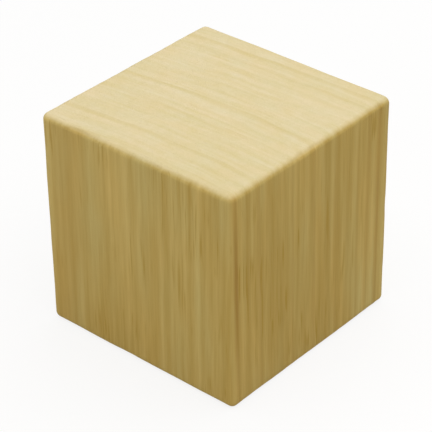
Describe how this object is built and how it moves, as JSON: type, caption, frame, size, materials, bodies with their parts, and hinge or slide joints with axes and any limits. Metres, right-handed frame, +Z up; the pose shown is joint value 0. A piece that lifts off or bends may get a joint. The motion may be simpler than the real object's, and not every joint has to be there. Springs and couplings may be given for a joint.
{
  "type": "wooden cube",
  "caption": "Solid cube of bare pale softwood with its grain upright, flat faces, and edges and corners slightly rounded by sanding.",
  "frame": {"origin": "centre of the bottom end-grain face, where the cube stands", "axes": "+Z up along the grain; +X and -Y are two neighbouring long-grain sides, with the growth rings lying nearly parallel to X"},
  "size_m": [0.05, 0.05, 0.05],
  "materials": {
    "bare_softwood": "bare planed and sanded pale softwood, no varnish; straight close grain up the sides, end grain top and bottom"
  },
  "bodies": {
    "root": {"wooden_cube": "bare_softwood"}
  },
  "joints": []
}
